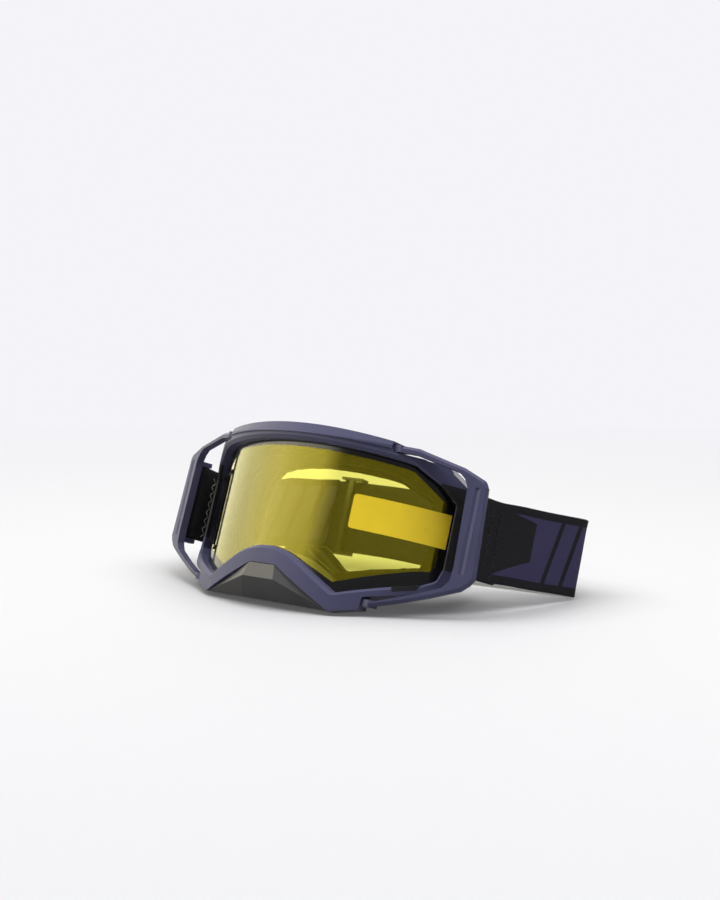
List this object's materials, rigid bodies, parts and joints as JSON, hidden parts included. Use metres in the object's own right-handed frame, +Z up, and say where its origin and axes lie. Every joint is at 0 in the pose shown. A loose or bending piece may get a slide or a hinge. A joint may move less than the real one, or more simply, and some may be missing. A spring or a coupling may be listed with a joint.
{
  "type": "sports protective goggles",
  "caption": "Wraparound sports goggles: curved yellow lens in an open frame with swinging strap outriggers, layered face foam, nose guard and adjustable elastic strap.",
  "frame": {"origin": "bottom centre of the whole part on the table it lies on", "axes": "+X to the wearer's left (the side the strap is laid to), +Y back towards the face and strap, +Z up; the goggles lean back 19.9 degrees on their lower edge"},
  "size_m": [0.2155, 0.1294, 0.0899],
  "materials": {
    "frame_navy": "satin moulded nylon, slate navy",
    "tub_black": "matte soft moulded frame rubber",
    "lens_yellow": "polished yellow tinted polycarbonate",
    "seal_black": "black border foam behind the lens",
    "label_yellow": "blank yellow film label",
    "guard_grey": "satin dark grey moulding",
    "foam_dense": "closed-cell foam",
    "foam_core": "open-cell foam",
    "foam_fleece": "brushed fleece",
    "foam_vent": "open-cell filter foam",
    "strap_webbing": "woven elastic webbing",
    "hardware_black": "moulded acetal",
    "pin_steel": "plain steel pin"
  },
  "bodies": {
    "frame": {"front_frame": "frame_navy", "brow_bar": "frame_navy", "side_band_right": "tub_black", "side_band_left": "tub_black", "rim_badge": "tub_black", "inner_frame": "tub_black", "lens": "lens_yellow", "lens_seal": "seal_black", "lens_label": "label_yellow", "nose_guard": "guard_grey", "hinge_pin_upper_right": "pin_steel", "hinge_pin_upper_left": "pin_steel", "hinge_pin_lower_right": "pin_steel", "hinge_pin_lower_left": "pin_steel", "foam_base": "foam_dense", "foam_core": "foam_core", "foam_face": "foam_fleece", "vent_foam": "foam_vent", "strap_main": "strap_webbing", "strap_short": "strap_webbing", "strap_return": "strap_webbing", "strap_ring": "hardware_black"},
    "outrigger_right": {"outrigger_right": "frame_navy", "strap_end_right": "strap_webbing"},
    "outrigger_left": {"outrigger_left": "frame_navy", "strap_end_left": "strap_webbing"},
    "slider": {"strap_slider": "hardware_black"}
  },
  "joints": [
    {"name": "outrigger_right_swing", "type": "hinge", "parent": "frame", "child": "outrigger_right", "pos_m": [0.042, -0.03252, 0.04348], "axis": [0, 0.3404, 0.9403], "range_deg": [-5, 12], "deforming": ["strap_main"]},
    {"name": "outrigger_left_swing", "type": "hinge", "parent": "frame", "child": "outrigger_left", "pos_m": [-0.056, -0.03252, 0.04348], "axis": [0, -0.3404, -0.9403], "range_deg": [-5, 12], "deforming": ["strap_short"]},
    {"name": "strap_adjust", "type": "slide", "parent": "frame", "child": "slider", "axis": [0.9963, 0.0803, -0.0291], "range_m": [-0.006, 0.024], "deforming": ["strap_return"]}
  ]
}
